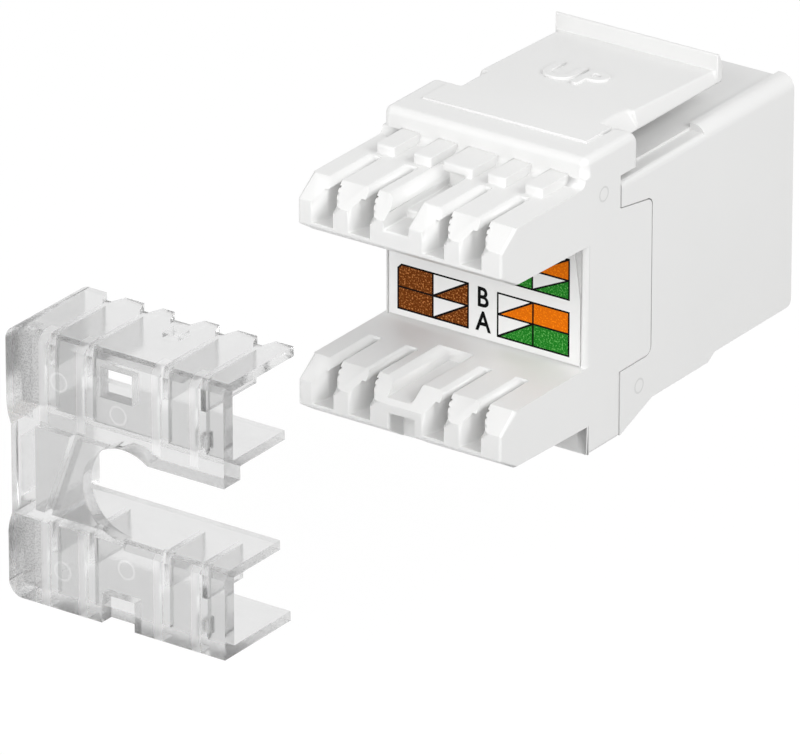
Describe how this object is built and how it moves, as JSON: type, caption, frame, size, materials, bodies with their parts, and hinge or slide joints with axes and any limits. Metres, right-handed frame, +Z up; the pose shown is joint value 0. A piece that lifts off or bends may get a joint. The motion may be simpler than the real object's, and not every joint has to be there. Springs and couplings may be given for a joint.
{
  "type": "keystone jack",
  "caption": "White modular keystone jack with two wire combs behind, a spring latch on top and a clear termination cap drawn back from the combs.",
  "frame": {"origin": "centre of the port section at its front face, in the middle of the plug opening's width", "axes": "+X to the right seen from the cable end, +Y out of the plug opening, +Z up towards the latch arm"},
  "size_m": [0.0152, 0.0585, 0.0199],
  "materials": {
    "white_moulding": "satin white",
    "insert_moulding": "black moulded",
    "board_laminate": "lacquered",
    "label_film": "printed film",
    "clear_moulding": "clear polycarbonate",
    "gilt_spring": "gilt",
    "tinned_blade": "tinned"
  },
  "bodies": {
    "jack": {"front_housing": "white_moulding", "rear_housing": "white_moulding", "contact_insert": "insert_moulding", "circuit_board": "board_laminate", "wiring_label": "label_film", "spring_contact_1": "gilt_spring", "spring_contact_2": "gilt_spring", "spring_contact_3": "gilt_spring", "spring_contact_4": "gilt_spring", "spring_contact_5": "gilt_spring", "spring_contact_6": "gilt_spring", "spring_contact_7": "gilt_spring", "spring_contact_8": "gilt_spring", "idc_contact_1": "tinned_blade", "idc_contact_2": "tinned_blade", "idc_contact_3": "tinned_blade", "idc_contact_4": "tinned_blade", "idc_contact_5": "tinned_blade", "idc_contact_6": "tinned_blade", "idc_contact_7": "tinned_blade", "idc_contact_8": "tinned_blade"},
    "cap": {"clear_cap": "clear_moulding"}
  },
  "joints": [
    {"name": "cap_slide", "type": "slide", "parent": "jack", "child": "cap", "axis": [0, 1, 0], "range_m": [0, 0.026]}
  ]
}
